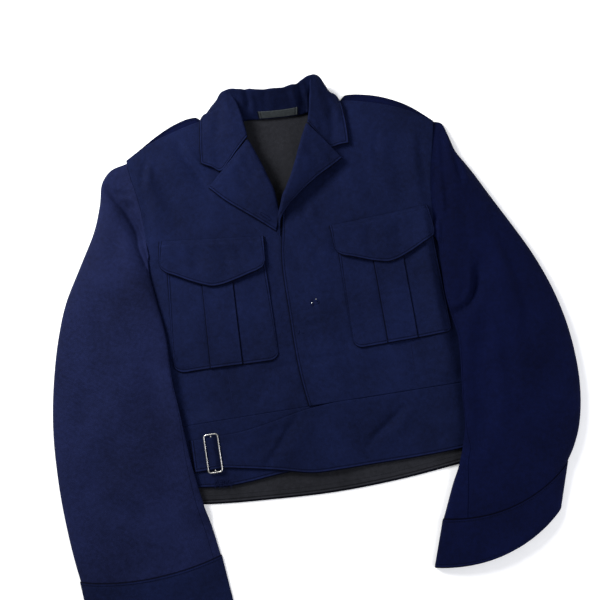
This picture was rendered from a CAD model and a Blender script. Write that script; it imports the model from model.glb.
"""Looks of the battledress jacket: finer cloth, sewing, materials, light and camera.

The tables hold the part's sizes in millimetres, in places a little closer to the photo, in the
plan frame whose origin is the point that the camera looks at: x to the viewer's right, y toward
the collar, z up. SHIFT brings that frame to the part's. Right and left are the wearer's. Cloth
pieces are grids of two parameters, written as closed thin walls.
"""
import bpy
import numpy as np
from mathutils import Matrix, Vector


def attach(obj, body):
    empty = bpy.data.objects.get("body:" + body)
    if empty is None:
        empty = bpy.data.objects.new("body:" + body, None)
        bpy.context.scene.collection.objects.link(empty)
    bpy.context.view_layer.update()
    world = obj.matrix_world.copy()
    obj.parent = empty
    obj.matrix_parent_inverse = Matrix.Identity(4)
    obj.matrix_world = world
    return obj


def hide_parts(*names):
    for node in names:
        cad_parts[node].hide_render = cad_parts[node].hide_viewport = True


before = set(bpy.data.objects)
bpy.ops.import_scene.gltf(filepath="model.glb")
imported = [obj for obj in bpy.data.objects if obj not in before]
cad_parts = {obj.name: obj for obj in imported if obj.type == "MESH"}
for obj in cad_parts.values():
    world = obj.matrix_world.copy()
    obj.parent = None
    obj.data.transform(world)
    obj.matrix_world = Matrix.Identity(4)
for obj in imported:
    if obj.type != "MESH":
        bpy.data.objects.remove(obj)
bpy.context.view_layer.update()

MM = 0.001
# From the plan frame to the part's
SHIFT = np.array([-1.429, 46.384, 0.0])

# Cloth thicknesses and gaps
SERGE = 2.0
SLEEVE_WALL = 1.8
BAG_WALL = 1.5
COLLAR_WALL = 2.5
BAND_WALL = 2.3
LINING_WALL = 1.0
SEAM = 0.4

# Body, measured from its centre line
CENTRE_X = 10.0
CENTRE_SLANT = -0.03
HALF_WIDTH = dict(y=(-300, -160, -100, 0, 62, 100, 260), half=(225, 229, 242, 255, 262, 266, 275))
SHOULDER_CENTRE = 2.0
SHOULDER = dict(out=(0, 30, 50, 62, 105, 120, 146, 180, 211, 241, 262),
                y=(291, 293, 298, 303, 301.5, 300, 294, 283.5, 269.5, 250, 235))
WAIST_Y = -158.5
DOME = 8.5
SIDE_FALL = 70.0
SHOULDER_FALL = 80.0
STRAP_ROOM = 2.4
STRAP_DEPTH = 90.0
STRAP_RAMP = 48.0
OVERLAP_STEP = 2.6
OVERLAP_START = 28.0
OVERLAP_END = 62.0
BAND_STEP = 2.8
BACK_HEM = dict(x=(-230, -183, -156, -88, -2, 101, 187, 245),
                y=(-268, -273, -276, -281, -285, -282, -274, -268))
UNDER_HEM = dict(x=(-230, -184, -148, -112, -80, -49, 40), y=(-247, -249, -253, -252, -249, -247, -247))
ARMHOLE = {
    "right": dict(low=(-213.4, 98.0), high=(-230.4, 252.0), bow=4.5, under_y=60.0),
    "left": dict(low=(213.4, 62.0), high=(248.4, 247.0), bow=-4.5, under_y=26.0),
}
SIGN = {"right": -1.0, "left": 1.0}
UNDER_EDGE = dict(y=(-165, 80, 105, 122, 133, 141, 168, 197, 226, 256, 290, 304),
                  x=(24, 24, 14, 4, -6, -13.5, -18.5, -25.5, -35, -45.5, -54, -62))
OVER_EDGE = dict(y=(-165, -115, -19, 74, 104, 124, 139, 158, 179, 237, 262, 304),
                 x=(-12, -18, -20, -17, -11.5, -8, -3.5, 10, 25.5, 47.5, 58.5, 68))
LAPEL = {
    "right": dict(at=(0, .25, .5, .75, 1), roll_x=(-9, -14, -22, -31, -41),
                  roll_y=(138, 168, 197, 226, 253.4), edge_x=(-20, -44, -68, -92, -111),
                  edge_y=(106, 127, 147, 168, 189), rise=(4, 7, 9, 10, 11)),
    "left": dict(at=(0, .12, .25, .4, .55, .7, .85, 1), roll_x=(-16, -13, -8, 0, 13, 27, 40, 52),
                 roll_y=(98, 124, 139, 158, 180, 208, 238, 262), edge_x=(-13.5, -9, 4, 23, 42, 61, 80, 97),
                 edge_y=(98, 122, 140, 156, 170, 182, 192, 202), rise=(.2, 1.5, 3, 6, 8, 10, 11, 11)),
}
COLLAR = dict(
    base_x=(-46, -51, -56, -59, -55, -44, -20, 8, 38, 59, 65, 66, 63, 61, 59),
    base_y=(258, 272, 284, 291, 295, 293, 290, 288, 287, 288, 290, 287, 281, 273, 266),
    base_z=(0, 0, 0, 0, 0, 8.2, 7.8, 7.5, 7.8, 8.2, 0, 0, 0, 0, 0),
    fold_x=(-41, -43, -45, -49, -55, -56, -24, 8, 42, 66, 67, 64, 60, 57, 54),
    fold_y=(255, 273, 293, 312, 326, 331.5, 325, 321, 323, 333, 323, 304, 285, 274, 263),
    fold_z=(28, 28, 29, 31, 34, 38, 40, 40, 40, 39, 36, 33, 31, 30, 29),
    leaf_x=(-86.5, -86, -84, -79, -74, -66, -25, 8, 42, 74, 88, 92, 90, 86, 80.5),
    leaf_y=(211.5, 240, 271, 300, 320, 334, 330, 326, 328, 339, 322, 298, 268, 243, 223.5),
    leaf_z=(19, 19, 19, 20, 23, 28, 22, 20, 22, 30, 26, 22, 20, 19, 19),
    edge_x=(-117, -116, -113, -109, -94, -72, -27, 8, 46, 82, 98, 110, 113, 113, 112),
    edge_y=(228, 250, 276, 301, 315, 328, 324, 321, 327, 336, 318, 298, 270, 246, 225),
    edge_z=(0, 0, 0, 0, 10, 12, 6, 5, 6, 13, 0, 0, 0, 0, 0),
)
POCKET = {
    "right": dict(top=((-189, 92), (-42, 92)), foot=((-198, -82), (-44, -86)), round=((16, 11), (14, 12))),
    "left": dict(top=((67, 92), (213, 92)), foot=((67, -88), (213, -85)), round=((14, 14), (10, 8))),
}
PLEAT = (0.345, 0.65)
PLEAT_RISE = 1.5
FLAP = {
    "right": dict(start=(-196, 118), end=(-38.5, 102)),
    "left": dict(start=(60, 102), end=(213, 111)),
}
FLAP_DEPTH = dict(at=(0, .02, .06, .15, .3, .42, .485, .55, .7, .85, .94, .98, 1),
                  deep=(36, 43, 49, 55, 65, 71.5, 74, 73.5, 67, 58, 52, 47, 38))
BAND = dict(x=(-189, -169, -148, -119, -70, -18, 20, 69, 127, 193, 244),
            top=(-181, -181, -180.5, -180, -173, -163, -159.3, -159.3, -159.3, -159.3, -159.3),
            foot=(-227, -227, -227, -232, -242, -254, -255, -255, -255, -253, -249))
BUCKLE_X = -158.5
BUCKLE_Y = -203.5
BUCKLE_WIDE = 20.0
BUCKLE_TALL = 54.0
WIRE = 1.1
BUCKLE_BUMP = 5.4
HANGER = dict(start=0.433, end=0.584, low=0.04, high=0.28, wall=1.2)
STRAP = dict(start=110.0, at=(0, .05, .13, .3, .58, .82, 1), under=(-10, -24, -34, -36, -36, -36, -34),
             past={"right": (3, 9.5, 12, 12.5, 7.5, 2.2, .8), "left": (3, 9.5, 12, 14, 13, 9, 3)})
SLEEVE = {
    "right": dict(
        in_x=(-214.6, -215.8, -216, -213.6, -210, -206, -203, -203,
              -202, -198, -195, -192, -187, -181, -174, -168),
        in_y=(98, 88, 72, 50, 24, -2, -32, -62, -96, -134, -170, -206, -240, -275, -310, -345),
        out_x=(-232.6, -256, -272, -279, -293, -319, -346, -362,
               -373, -381, -385, -385, -383, -379, -374, -368),
        out_y=(253, 245, 225, 191, 149, 100, 48, 0, -48, -98, -148, -195, -237, -278, -316, -350),
        bow=(4.5, 4, 3, 2, 0, 0, 0, 0, 0, 0, 0, 2, 4, 6, 9, 12),
        tall=(13, 17, 21, 24, 27, 28, 28, 27, 26, 25, 25, 24, 24, 23, 21, 18)),
    "left": dict(
        in_x=(214.6, 216.4, 216.6, 215.2, 213.6, 213, 216, 219.5, 217, 213, 209, 206, 197, 184, 168, 153),
        in_y=(62, 53, 38, 17, -7, -33, -62, -92, -122, -154, -186, -218, -250, -281, -314, -345),
        out_x=(249.6, 261, 266.5, 273.5, 289.5, 310, 334, 356.5, 374, 384, 388, 387, 381, 371, 358, 344),
        out_y=(247, 240, 220, 190, 160, 116, 66, 16, -36, -84, -130, -174, -214, -248, -274, -294),
        bow=(-4.5, -4, -3, -2, 0, 0, 0, 0, 0, 0, -2, -5, -9, -14, -19, -23),
        tall=(13, 17, 21, 24, 27, 28, 29, 29, 28, 27, 26, 26, 25, 23, 21, 18)),
}
# The cuff's way from the sleeve's end to the hand, and where on it the cuff starts
CUFF_WAY = {"right": (8.0, -69.5), "left": (-24.0, -64.0)}
CUFF_START = -0.4
CUFF_FULL = 1.2
CUFF_SINK = 0.22
# Ring angle of the forearm seam, from armhole to cuff
SLEEVE_SEAM_TOP = {"at": (0, .58, .65, .71, .76, .8, .85, .9, 1),
                   "right": (.2, .2, .24, .33, .37, .4, .43, .44, .46),
                   "left": (.2, .2, .16, .12, .27, .46, .5, .63, .8)}
SLEEVE_SEAM_BACK = 0.35
FOLD_RADIUS = {"right": 2.6, "left": 4.0}
INNER_FULL = {"right": 1.0, "left": 0.5}
OUTER_FULL = 0.8
SLEEVE_CLEAR = {"right": 0.3, "left": 2.0}
LINING_INSET = 20.0
UNDER_SLEEVE = 8.0

# Sewing and small things
TOPSTITCH = 4.5
FLAP_STITCH = 5.6
HEM_STITCHES = (4.0, 11.0)
DARTS = {"right": ((-121, -91), (-120, -156)), "left": ((150, -91), (147, -156))}
DART_DEEP = 0.9
STUDS = ((16.5, -10.0), (23.0, -5.5))
# Both ends of each snipped thread
SNIPS = ((-14, -48, -9, -51), (-12, -52, -8, -49), (-9, -47, -11, -53), (-7, -50, -3, -53),
         (13, -14, 20, -12), (20, -9, 27, -8), (14, -7, 19, -4), (22, -13, 28, -10), (16, -16, 18, -3))
BUTTONHOLE = dict(x=-32.0, y=131.0, turn=np.radians(-42.0), half_long=9.5, half_wide=1.1)
# Rim distance that stands for no sewn edge near
FAR = 99.0

# Cloth patterns. A noise of scale s has marks about 1 / s across, in millimetres on the vector
# "weave" and in metres on Object coordinates. A wave of scale s repeats every 0.314 / s.
WAVE_OF_ONE = 0.314
FUZZ = 1.3        # tufts of loose fibre, 0.8 mm, coarser than real so that they show
SLUB = 170.0      # thick and thin yarn, 6 mm
PATCHES = 11.0    # wear and handling, 90 mm
# Height and shade beside a sewn edge, over the first 10 mm
GROOVE = ((0.0, 0.7), (0.18, 1.0), (0.36, 0.75), (0.46, 0.0), (0.56, 0.55), (0.85, 0.6))
EDGE_SHADE = ((0.0, (0.08, 0.1, 0.18, 1)), (0.14, (0.14, 0.17, 0.26, 1)), (0.21, 1.35), (0.34, 1.15),
              (0.45, 0.45), (0.56, 1.0))

# Folds, by hand from the photo. Columns: reach on the left of the line and on its right, height,
# and then the points of the line
FOLDS = {
    "sleeves": (
        (13, 13, -6.0, (276, 12), (258, -26), (212, -66)),
        (17, 17, 4.0, (262, -30), (236, -86), (226, -120)),
        (16, 16, -6.0, (250, -96), (236, -160), (236, -204), (205, -293)),
        (11, 11, -3.5, (-267, 215), (-252, 186), (-235, 144), (-219, 100)),
        (22, 22, -2.5, (-300, 60), (-262, 20), (-236, -40)),
        (22, 22, -2.0, (-262, -150), (-300, -200), (-352, -226)),
        (20, 20, -2.0, (330, 40), (352, -20), (358, -90)),
    ),
    "fronts": (
        (14, 14, -1.6, (-168, 262), (-137, 224), (-112, 190)),
        (16, 16, -1.4, (-200, 226), (-170, 180), (-150, 140)),
        (16, 16, -1.6, (-176, -96), (-160, -130), (-128, -158)),
        (12, 12, -1.4, (124, -178), (96, -204), (58, -228)),
    ),
    "creases": (
        (4.5, 9, -3.0, (-157, 286), (-143, 252), (-124, 218), (-111, 186)),
        (6, 6, 1.8, (-144, 278), (-130, 246), (-114, 214)),
        (5, 5, -2.0, (-199, 258), (-206, 234), (-211, 210)),
        (5, 5, 1.2, (-190, 258), (-196, 232), (-200, 206)),
        (7, 7, -1.5, (-213, 190), (-210, 160), (-209, 130)),
        (9, 9, 1.1, (-206, 240), (-196, 200), (-192, 160)),
        (11, 11, -1.2, (-186, 216), (-172, 176), (-168, 136)),
        (10, 10, -1.0, (-90, 150), (-60, 118), (-44, 76)),
        (10, 10, -0.8, (-60, 96), (-42, 58), (-34, 12)),
        (6, 6, -0.8, (-30, 40), (-27, -20), (-24, -80)),
        (5, 5, -0.8, (-8, 74), (6, 58), (10, 40)),
        (6, 6, -0.8, (2, 24), (12, 6), (34, 0)),
        (5, 5, -0.8, (-12, -34), (4, -44), (24, -40)),
        (7, 7, -0.8, (10, -60), (26, -74), (58, -78)),
        (7, 7, -1.8, (14, 96), (34, 74), (40, 34)),
        (4, 4, -1.1, (-26, 100), (-30, 60), (-27, 20)),
        (6, 6, -1.5, (22, 140), (30, 118), (44, 96)),
        (11, 11, -2.4, (14, 122), (34, 146), (58, 164), (84, 178)),
        (4, 4, -1.2, (-14, -6), (-2, -20), (20, -26)),
        (6, 6, -1.3, (-16, -88), (10, -96), (40, -92)),
        (6, 6, -1.1, (-80, -92), (-52, -100), (-26, -94)),
        (6, 6, -1.3, (160, 240), (150, 214), (152, 186)),
        (8, 8, -1.0, (52, 146), (48, 122), (50, 98)),
        (10, 10, -0.9, (76, 176), (84, 150), (80, 120)),
        (14, 14, -1.1, (126, 206), (132, 166), (130, 128)),
        (12, 12, -1.4, (188, 240), (178, 194), (182, 140)),
        (7, 7, 1.0, (216, 240), (206, 206), (204, 150)),
        (7, 7, -1.5, (226, 230), (218, 186), (214, 130)),
        (8, 8, -0.9, (-30, -132), (6, -140), (40, -138)),
        (12, 12, -1.0, (40, -112), (84, -122), (130, -122)),
        (7, 7, -0.8, (86, -142), (128, -148), (176, -140)),
        (12, 12, -0.9, (-86, -104), (-60, -124), (-30, -122)),
        (7, 7, -0.9, (-112, -128), (-80, -146), (-44, -150)),
        (22, 12, -7.0, (-190, -74), (-185, -102), (-177, -128), (-164, -152)),
        (18, 8, 5.2, (194, -172), (200, -108), (198, -70), (196, -40), (198, 16), (200, 64), (205, 120)),
        (6, 6, 1.0, (-176, -120), (-158, -138), (-134, -146)),
    ),
    "bands": (
        (8, 4, -2.2, (-34, -171), (-58, -200), (-92, -240)),
        (9, 9, 1.2, (-14, -178), (-36, -210), (-62, -236)),
        (8, 8, -1.1, (-66, -190), (-84, -206), (-112, -214)),
        (5, 5, -0.7, (-44, -184), (-76, -188), (-110, -196)),
        (7, 3.5, -2.2, (126, -180), (101, -196), (76, -214), (56, -236)),
        (8, 8, 1.3, (140, -176), (118, -204), (84, -232)),
        (9, 9, -1.0, (8, -176), (30, -196), (36, -226)),
        (12, 12, -1.3, (150, -170), (172, -196), (206, -206)),
        (8, 8, -0.9, (-4, -206), (14, -222), (50, -226)),
        (8, 8, -1.0, (206, -216), (180, -232), (150, -238)),
    ),
    "arms": (
        (6, 6, 2.2, (250, 226), (244, 180), (234, 130), (228, 90)),
        (7, 7, -2.8, (258, 220), (250, 176), (244, 130), (240, 92)),
        (4, 4, -2.8, (266, 196), (269, 166), (270, 134)),
        (5, 5, 2.0, (274, 200), (278, 168), (280, 140)),
        (5, 5, -2.0, (284, 196), (288, 168), (286, 142)),
        (12, 12, -1.8, (252, 120), (262, 80), (258, 40)),
        (7, 2.8, -4.2, (264, 6), (261, -10), (257, -26), (251, -42), (238, -52), (222, -57), (212, -60)),
        (4.5, 4.5, 3.4, (254, 4), (251, -14), (246, -30), (236, -42), (222, -47), (212, -49)),
        (4.5, 4.5, -4.5, (213, -56), (219, -72), (224, -92)),
        (5, 5, 2.4, (208, -66), (212, -84), (214, -110)),
        (26, 9, -5.0, (306, 66), (314, 36), (320, -4), (326, -60), (320, -110)),
        (12, 12, 2.4, (300, 10), (292, -60), (298, -130), (290, -200)),
        (12, 12, 3.0, (276, -60), (268, -130), (262, -200), (244, -260)),
        (12, 12, -2.0, (262, -236), (240, -272), (216, -310)),
        (18, 18, -2.0, (330, -160), (322, -220), (300, -270)),
        (4, 14, -6.5, (-219, 84), (-220, 100), (-223, 126), (-231, 152), (-243, 178), (-264, 212)),
        (3, 3, -2.4, (-252, 208), (-241, 204), (-230, 200)),
        (3, 3, 1.8, (-250, 198), (-240, 194), (-229, 190)),
        (3, 3, -1.5, (-240, 180), (-232, 182), (-223, 178)),
        (14, 14, -2.0, (-252, 150), (-262, 110), (-252, 60)),
        (18, 18, -2.0, (-318, 90), (-296, 40), (-290, -20)),
        (22, 22, -2.0, (-340, 10), (-330, -60), (-336, -130)),
        (12, 20, -3.4, (-222, -40), (-226, -110), (-220, -180), (-212, -250)),
        (20, 20, 2.0, (-280, -90), (-284, -160), (-268, -230)),
        (16, 16, -2.0, (-330, -230), (-300, -262), (-262, -280)),
        (11, 11, -2.0, (-238, -232), (-228, -270), (-224, -310)),
    ),
    "lapels": (
        (7, 7, -1.0, (-66, 212), (-58, 190), (-44, 168)),
        (9, 9, 0.8, (-78, 180), (-60, 164), (-38, 146)),
        (6, 6, -0.8, (-50, 226), (-44, 206), (-36, 190)),
        (8, 8, -0.9, (44, 232), (52, 212), (64, 196)),
        (5, 5, 0.7, (58, 226), (66, 208), (76, 200)),
    ),
    "collar": (
        (8, 8, -1.0, (-74, 316), (-82, 290), (-90, 262)),
        (9, 9, -0.9, (-100, 256), (-84, 236), (-62, 226)),
        (8, 8, -1.1, (84, 312), (92, 286), (90, 250)),
        (7, 7, -0.8, (70, 280), (74, 256), (66, 236)),
        (5, 5, 0.8, (96, 300), (104, 280), (100, 262)),
        (4, 4, -2.6, (-34, 326), (-32, 312), (-36, 300)),
        (4, 4, 1.2, (-26, 324), (-24, 310), (-24, 300)),
        (5, 5, -0.9, (-4, 322), (-6, 312), (-4, 300)),
        (4, 4, -1.0, (24, 322), (30, 312), (32, 300)),
        (4, 4, -2.6, (46, 324), (48, 312), (50, 298)),
        (4, 4, 1.2, (38, 322), (40, 312), (42, 300)),
        (3.5, 3.5, 1.2, (56, 326), (58, 312), (58, 298)),
    ),
    "bags": (
        (10, 10, -0.9, (-180, 40), (-184, 0), (-182, -50)),
        (10, 10, 0.7, (-116, 20), (-118, -20), (-112, -60)),
        (14, 14, -0.9, (-70, 50), (-62, 0), (-66, -50)),
        (10, 10, -0.9, (90, 40), (92, 0), (88, -60)),
        (10, 10, 0.7, (140, 10), (142, -30), (138, -66)),
        (10, 10, -0.9, (190, 50), (186, 0), (192, -50)),
        (5, 5, -0.8, (72, -62), (84, -68), (92, -78)),
    ),
    "flaps": (
        (7, 7, -1.1, (-150, 102), (-146, 80), (-143, 54)),
        (8, 8, 0.7, (-124, 100), (-124, 76), (-122, 52)),
        (6, 6, -1.2, (-108, 98), (-102, 80), (-96, 54)),
        (6, 6, -0.7, (-86, 96), (-80, 80), (-76, 60)),
        (8, 8, 0.6, (100, 98), (98, 76), (100, 56)),
        (6, 6, -1.1, (118, 96), (116, 74), (116, 46)),
        (8, 8, 0.7, (140, 96), (140, 74), (138, 46)),
        (6, 6, -1.1, (166, 98), (162, 76), (160, 52)),
    ),
    "lining": (
        (7, 7, 0.7, (-30, 270), (-16, 230), (-10, 180)),
        (8, 8, 0.6, (30, 268), (22, 226), (10, 186)),
        (6, 6, -0.5, (-4, 286), (2, 250), (4, 214)),
        (6, 6, 0.5, (-90, -252), (-60, -262), (-20, -262)),
        (7, 7, 0.6, (40, -258), (90, -266), (140, -258)),
        (6, 6, 0.5, (150, -250), (176, -262), (206, -262)),
    ),
}


def ease(t):
    """Smooth step: 0 below 0, 1 above 1."""
    t = np.clip(t, 0.0, 1.0)
    return t * t * (3.0 - 2.0 * t)


def through(xs, ys, at):
    """Cubic through the points of a table, its slopes those of the neighbours' chord."""
    xs = np.asarray(xs, float)
    ys = np.asarray(ys, float)
    at = np.clip(np.asarray(at, float), xs[0], xs[-1])
    slope = np.gradient(ys, xs)
    i = np.clip(np.searchsorted(xs, at, side="right") - 1, 0, len(xs) - 2)
    span = xs[i + 1] - xs[i]
    t = (at - xs[i]) / span
    rest = 1.0 - t
    return (ys[i] * (1 + 2 * t) * rest ** 2 + ys[i + 1] * (3 - 2 * t) * t ** 2
            + span * (slope[i] * t * rest ** 2 - slope[i + 1] * t ** 2 * rest))


def along(table, column, at):
    """A column of an evenly stepped section table, at a fraction of its length."""
    values = table[column]
    return through(np.linspace(0, 1, len(values)), values, at)


def line_distance(line, x, y):
    """Distance from plan points to a broken line, how far along it they lie, and if on its left."""
    line = np.array(line, float)
    legs = len(line) - 1
    shape = np.broadcast(x, y).shape
    near = np.full(shape, 1e9)
    where = np.zeros(shape)
    left = np.zeros(shape, bool)
    for k in range(legs):
        a, d = line[k], line[k + 1] - line[k]
        t = np.clip(((x - a[0]) * d[0] + (y - a[1]) * d[1]) / (d @ d), 0, 1)
        gap = np.hypot(x - a[0] - t * d[0], y - a[1] - t * d[1])
        closer = gap < near
        near = np.where(closer, gap, near)
        where = np.where(closer, (k + t) / legs, where)
        left = np.where(closer, d[0] * (y - a[1]) - d[1] * (x - a[0]) > 0, left)
    return near, where, left


def folds(kind, x, y):
    """Sum of the named folds: each is a bell across its line, fading out at both ends."""
    total = np.zeros(np.broadcast(x, y).shape)
    for wide, steep, high, *line in FOLDS[kind]:
        near, where, left = line_distance(line, x, y)
        fade = np.sin(np.pi * np.clip(0.08 + 0.84 * where, 0, 1)) ** 0.7
        total = total + high * fade * np.exp(-(near / np.where(left, wide, steep)) ** 2)
    return total


def centre_x(y):
    """Centre line of the body, a straight line that leans to the viewer's left going up."""
    return CENTRE_X + CENTRE_SLANT * y


def shoulder_y(x):
    """Shoulder line: a cubic through its table, the same on both sides of the neck."""
    return through(SHOULDER["out"], SHOULDER["y"], np.abs(x - SHOULDER_CENTRE))


def side_seam_x(y, side):
    """Side seam: the half width of the table, out from the centre line."""
    return centre_x(y) + SIGN[side] * through(HALF_WIDTH["y"], HALF_WIDTH["half"], y)


def armhole_x(y, side):
    """Plan of the armhole seam: a straight line with a shallow bow."""
    hole = ARMHOLE[side]
    w = np.clip((y - hole["low"][1]) / (hole["high"][1] - hole["low"][1]), 0, 1)
    return hole["low"][0] + (hole["high"][0] - hole["low"][0]) * w + hole["bow"] * np.sin(np.pi * w) ** 2


def panel_side_x(y, side):
    """Side of the fronts and back: side seam, the scoop under the arm, then the armhole."""
    hole = ARMHOLE[side]
    t = ease((y - hole["under_y"]) / (hole["low"][1] - hole["under_y"]))
    return side_seam_x(np.minimum(y, 300), side) * (1 - t) + armhole_x(y, side) * t


def strap_room(x, y):
    """Lift of back and fronts over the shoulder straps: a smooth ramp up to the shoulder line."""
    return STRAP_ROOM * ease((y - (shoulder_y(x) - STRAP_DEPTH)) / STRAP_RAMP)


def front_low(x, y):
    """Under face of the fronts: on the back at its seams, domed over the chest.

    The dome is a product of smooth steps in from the side, the shoulder and the hem. Folds and
    the unevenness of worn cloth are added to it, and fade where it is low.
    """
    edge = through(HALF_WIDTH["y"], HALF_WIDTH["half"], y) - np.abs(x - centre_x(y))
    down = shoulder_y(x) - y
    dome = DOME * ease(edge / SIDE_FALL) * ease(down / SHOULDER_FALL) * ease((y + 290) / 150)
    room = (LINING_WALL + 0.6) * ease(edge / 14) * ease(down / 14)
    fine = 1.5 * folds("creases", x, y) * ease((y - WAIST_Y - 1) / 22)
    fine = fine + 1.4 * folds("bands", x, y) * ease((WAIST_Y - 1 - y) / 12)
    fine = fine + worn(x, y, 13.0, 0.8) + worn(x + 40, y - 25, 5.2, 0.26)
    # Hollows stop short of what lies below
    dome = np.maximum(dome + (folds("fronts", x, y) + fine) * ease(dome / 5.0), np.minimum(dome, 0.8))
    return SERGE + 0.35 + room + dome + strap_room(x, y)


def overlap(x):
    """Share of the step over the other front: 1 on the overlap, easing to 0 beside it."""
    return 1 - ease((x - OVERLAP_START) / (OVERLAP_END - OVERLAP_START))


def over_low(x, y):
    """Under face of the over front: that of the fronts, with a step over the other front."""
    return front_low(x, y) + OVERLAP_STEP * overlap(x)


def worn(x, y, pitch, high):
    """Slight unevenness of worn cloth: three crossed waves of unlike pitch, warped by a slower one."""
    a = x / pitch + 1.3 * np.sin(y / (pitch * 2.3))
    b = y / (pitch * 1.3) + 1.1 * np.sin(x / (pitch * 1.9) + 1.0)
    c = (x * 0.7 + y * 0.7) / (pitch * 0.8) + 1.6 * np.sin((x - y) / (pitch * 2.7))
    return high * (np.sin(a) * np.sin(b) + 0.6 * np.sin(c) * np.cos(a * 0.53)) / 1.6


LOW = {"right": front_low, "left": over_low}


def face_normals(points):
    """Unit normals of a grid of points, along columns cross rows."""
    n = np.cross(np.gradient(points, axis=1), np.gradient(points, axis=0))
    return n / np.maximum(np.linalg.norm(n, axis=2, keepdims=True), 1e-9)


def steps(length, pitch, rim=(0, .3, .8, 1.5, 2.6, 4.0, 5.5)):
    """Fractions along a side: close together at both ends for the rounded edge, even between."""
    rim = np.array(rim) / length
    count = int(round((length - 2 * rim[-1] * length) / pitch)) + 1
    inner = np.linspace(rim[-1], 1 - rim[-1], max(2, count))
    return np.concatenate([rim[:-1], inner, 1 - rim[:-1][::-1]])


def rim_distance(points, open_sides):
    """Distance of each grid point from the nearest of the named sides, measured on the cloth."""
    across = np.linalg.norm(np.diff(points, axis=1), axis=2)
    across = np.concatenate([np.zeros((points.shape[0], 1)), np.cumsum(across, axis=1)], axis=1)
    up = np.linalg.norm(np.diff(points, axis=0), axis=2)
    up = np.concatenate([np.zeros((1, points.shape[1])), np.cumsum(up, axis=0)], axis=0)
    from_side = {"left": across, "right": across[:, -1:] - across, "foot": up, "head": up[-1:] - up}
    return np.min([from_side[s] for s in open_sides], axis=0)


def wall_faces(rows, cols, ring=False):
    """Quads of a closed wall of two grids: lower face, upper face and its rims."""
    count = rows * cols
    grid = np.arange(count).reshape(rows, cols)
    if ring:
        grid = np.concatenate([grid, grid[:, :1]], axis=1)

    def rim(start, end):
        """Quads between the two faces along a run of edge points."""
        return np.stack([start, end, end + count, start + count], axis=1)

    a, b, c, d = grid[:-1, :-1], grid[:-1, 1:], grid[1:, 1:], grid[1:, :-1]
    top = np.stack([a, b, c, d], axis=2).reshape(-1, 4) + count
    low = np.stack([a, d, c, b], axis=2).reshape(-1, 4)
    faces = [top, low, rim(grid[0, :-1], grid[0, 1:]), rim(grid[-1, 1:], grid[-1, :-1])]
    if not ring:
        faces += [rim(grid[1:, 0], grid[:-1, 0]), rim(grid[:-1, -1], grid[1:, -1])]
    return np.concatenate(faces)


def new_piece(name, points, faces, material, rim=None):
    """Mesh object at the origin from points in millimetres of the plan frame."""
    mesh = bpy.data.meshes.new(name)
    verts = (np.asarray(points).reshape(-1, 3) + SHIFT) * MM
    mesh.from_pydata(verts, [], faces)
    mesh.polygons.foreach_set("use_smooth", np.ones(len(mesh.polygons), bool))
    if rim is not None:
        layer = mesh.attributes.new("rim", "FLOAT", "POINT")
        layer.data.foreach_set("value", np.asarray(rim, float).ravel())
    mesh.update()
    obj = bpy.data.objects.new(name, mesh)
    bpy.context.scene.collection.objects.link(obj)
    mesh.materials.append(material)
    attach(obj, "root")
    return obj


def cloth(name, low, top, material, sides, ring=False, edge=1.2, creased=FAR):
    """Closed wall between two grids whose free edges are rounded.

    Within the edge radius of a side the two faces draw together along a quarter circle. The
    attribute "rim" keeps the distance from the sewn sides, or from a crease, and "weave" the
    lengths along and across the cloth, both in millimetres.
    """
    middle = (low + top) / 2
    near = rim_distance(middle, ("foot", "head") if ring else ("left", "right", "foot", "head"))
    full = np.sqrt(np.maximum(1 - (1 - np.clip(near / edge, 0, 1)) ** 2, 0.06))[:, :, None]
    rim = np.minimum(rim_distance(middle, sides) if sides else np.full(near.shape, FAR), creased)
    low = middle + (low - middle) * full
    top = middle + (top - middle) * full
    rows, cols = near.shape
    points = np.concatenate([low.reshape(-1, 3), top.reshape(-1, 3)])
    piece = new_piece(name, points, wall_faces(rows, cols, ring), material, np.stack([rim, rim]))
    weave = np.zeros((2, rows, cols, 3))
    weave[:, :, 1:, 0] = np.linalg.norm(np.diff(middle, axis=1), axis=2).cumsum(axis=1)
    weave[:, 1:, :, 1] = np.linalg.norm(np.diff(middle, axis=0), axis=2).cumsum(axis=0)
    layer = piece.data.attributes.new("weave", "FLOAT_VECTOR", "POINT")
    layer.data.foreach_set("vector", weave.ravel())
    return piece


def laid(name, x, y, low, thick, material, sides, relief=0.0):
    """A panel over the plan: its under face's height, its thickness, and relief on its face."""
    bottom = np.stack([x, y, low], axis=2)
    top = np.stack([x, y, low + thick + relief], axis=2)
    piece = cloth(name, bottom, top, material, sides)
    return piece, top


def inset_path(top, side, inset, trim=(0.0, 0.0)):
    """Line on a grid's upper face at a distance in from one side, with its normals."""
    stack = np.concatenate([top, face_normals(top)], axis=2)
    turned = {"left": stack, "right": stack[:, ::-1], "foot": stack.transpose(1, 0, 2),
              "head": stack[::-1].transpose(1, 0, 2)}[side]
    run = np.cumsum(np.linalg.norm(np.diff(turned[:, :, :3], axis=1), axis=2), axis=1)
    run = np.concatenate([np.zeros((len(turned), 1)), run], axis=1)
    i = np.clip((run <= inset).sum(axis=1) - 1, 0, run.shape[1] - 2)
    rows = np.arange(len(turned))
    t = ((inset - run[rows, i]) / np.maximum(run[rows, i + 1] - run[rows, i], 1e-6))[:, None]
    path = turned[rows, i] * (1 - t) + turned[rows, i + 1] * t
    length = np.concatenate([[0], np.cumsum(np.linalg.norm(np.diff(path[:, :3], axis=0), axis=1))])
    at = np.linspace(trim[0], length[-1] - trim[1], max(2, int(length[-1] / 1.0)))
    return np.stack([np.interp(at, length, path[:, k]) for k in range(6)], axis=1)


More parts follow.
